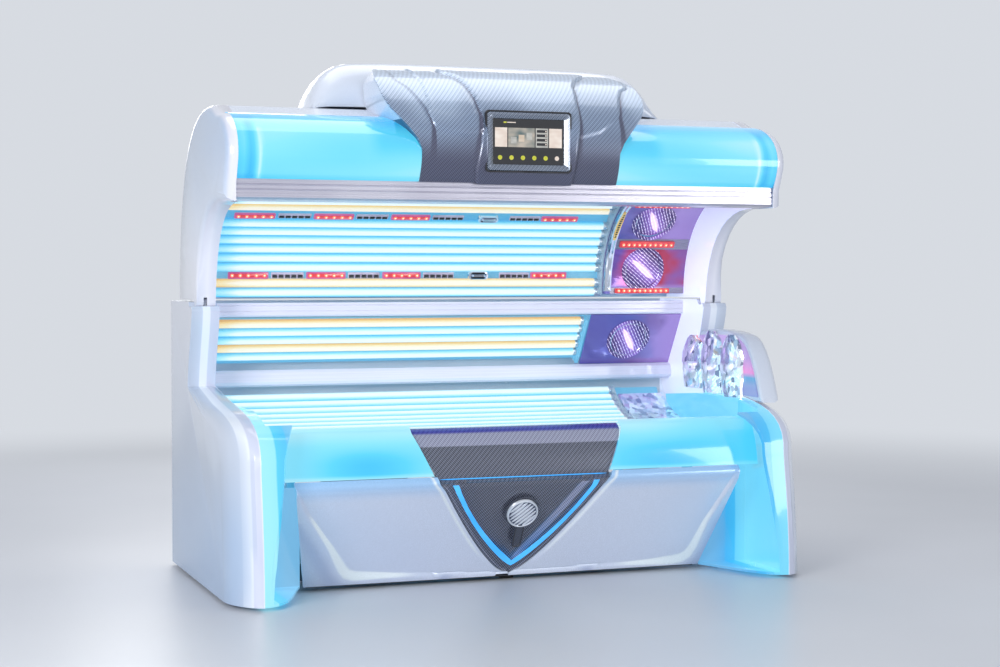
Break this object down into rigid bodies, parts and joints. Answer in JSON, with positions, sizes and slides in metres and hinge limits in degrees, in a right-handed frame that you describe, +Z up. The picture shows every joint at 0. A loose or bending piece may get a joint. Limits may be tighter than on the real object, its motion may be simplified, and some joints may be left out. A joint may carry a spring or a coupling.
{
  "type": "tanning bed",
  "caption": "Horizontal salon sunbed, canopy open: curved acrylic bench over lamps, lit white end panels, centre shield and a console with a screen on the canopy.",
  "frame": {"origin": "on the floor under the middle of the bed, at the centre of the bounding box's base", "axes": "+X along the bed towards the head end (right in the picture), +Y from the front to the back, +Z up"},
  "size_m": [2.4, 1.24, 2.103],
  "materials": {
    "frame_steel": "satin powder coat",
    "bright_steel": "brushed",
    "white_shell": "gloss",
    "back_sheet": "satin",
    "lit_cyan": "translucent, lit from inside",
    "lilac_panel": "metallic gloss",
    "carbon": "woven, lacquered",
    "slate_carbon": "woven, lacquered",
    "chrome_trim": "polished",
    "black_plastic": "fine grain",
    "foot_rubber": "matt",
    "clear_acrylic": "clear, slightly blue",
    "lamp_white": "phosphor coated",
    "lamp_gold": "phosphor coated",
    "reflector": "bright rolled",
    "holder_white": "satin",
    "rail_metal": "brushed, anodised",
    "face_glass": "ribbed",
    "violet_plastic": "gloss",
    "cut_mirror": "faceted",
    "screen_glass": "polished",
    "led_red": "clear red"
  },
  "bodies": {
    "base": {"base_frame": "frame_steel", "levelling_feet": "foot_rubber", "hinge_pins": "bright_steel", "back_panel": "back_sheet", "end_panel_left": "white_shell", "end_panel_right": "white_shell", "end_light_left": "lit_cyan", "end_light_right": "lit_cyan", "front_light_band": "lit_cyan", "lower_panel_left": "lilac_panel", "lower_panel_right": "lilac_panel", "kick_strip": "black_plastic", "bench_lamps": "lamp_white", "bench_reflector": "reflector", "bench_lampholders": "holder_white", "head_reflector": "cut_mirror", "side_acrylic": "clear_acrylic", "side_lamps_white": "lamp_white", "side_lamps_gold": "lamp_gold", "side_reflector": "reflector", "upper_rail": "rail_metal", "lower_rail": "rail_metal", "shoulder_lamp": "face_glass", "shoulder_housing": "violet_plastic", "head_shell": "white_shell", "head_crystal": "cut_mirror", "control_pod": "violet_plastic", "ballast_tray": "bright_steel", "fan_housing": "black_plastic", "power_inlet": "black_plastic", "balance_springs": "bright_steel"},
    "canopy": {"canopy_frame": "frame_steel", "canopy_shell": "white_shell", "top_cowl": "white_shell", "cap_left": "white_shell", "cap_right": "white_shell", "nose_light_left": "lit_cyan", "nose_light_right": "lit_cyan", "console": "slate_carbon", "screen_frame": "carbon", "screen": "screen_glass", "front_rail": "rail_metal", "canopy_acrylic": "clear_acrylic", "canopy_lamps_white": "lamp_white", "canopy_lamps_gold": "lamp_gold", "canopy_reflector": "reflector", "canopy_lampholders": "holder_white", "led_modules": "led_red", "vent_modules": "black_plastic", "face_housing": "violet_plastic", "face_lamps": "face_glass"},
    "bench": {"bench_acrylic": "clear_acrylic"},
    "shield": {"centre_shield": "carbon", "shield_light": "lit_cyan"},
    "lock_knob": {"lock_knob": "chrome_trim"},
    "start_button": {"start_button": "chrome_trim"},
    "fan_rotor": {"fan_rotor": "black_plastic"},
    "upper_nozzle": {"upper_nozzle": "chrome_trim"},
    "lower_nozzle": {"lower_nozzle": "chrome_trim"}
  },
  "joints": [
    {"name": "canopy_hinge", "type": "hinge", "parent": "base", "child": "canopy", "pos_m": [0, 0.195, 1.13], "axis": [1, 0, 0], "range_deg": [0, 58]},
    {"name": "bench_lift", "type": "hinge", "parent": "base", "child": "bench", "pos_m": [0, 0.5, 0.765], "axis": [1, 0, 0], "range_deg": [-30, 0]},
    {"name": "shield_flap", "type": "hinge", "parent": "base", "child": "shield", "pos_m": [0, -0.332, 0.646], "axis": [1, 0, 0], "range_deg": [-50, 0]},
    {"name": "knob_turn", "type": "hinge", "parent": "shield", "child": "lock_knob", "pos_m": [0, -0.4063, 0.3], "axis": [0, -0.8694, -0.4942], "range_deg": [0, 90]},
    {"name": "button_press", "type": "slide", "parent": "base", "child": "start_button", "axis": [1, 0, 0], "range_m": [0, 0.003], "stiffness_N_per_m": 400, "springref_m": -0.004},
    {"name": "fan_spin", "type": "hinge", "parent": "base", "child": "fan_rotor", "pos_m": [0, 0.04, 0.111], "axis": [0, 0, 1], "continuous": true},
    {"name": "upper_nozzle_tilt", "type": "hinge", "parent": "canopy", "child": "upper_nozzle", "pos_m": [0.098, 0.24194, 1.47304], "axis": [1, 0, 0], "range_deg": [-20, 20]},
    {"name": "lower_nozzle_tilt", "type": "hinge", "parent": "canopy", "child": "lower_nozzle", "pos_m": [0.098, 0.37209, 1.23207], "axis": [1, 0, 0], "range_deg": [-20, 20]}
  ]
}
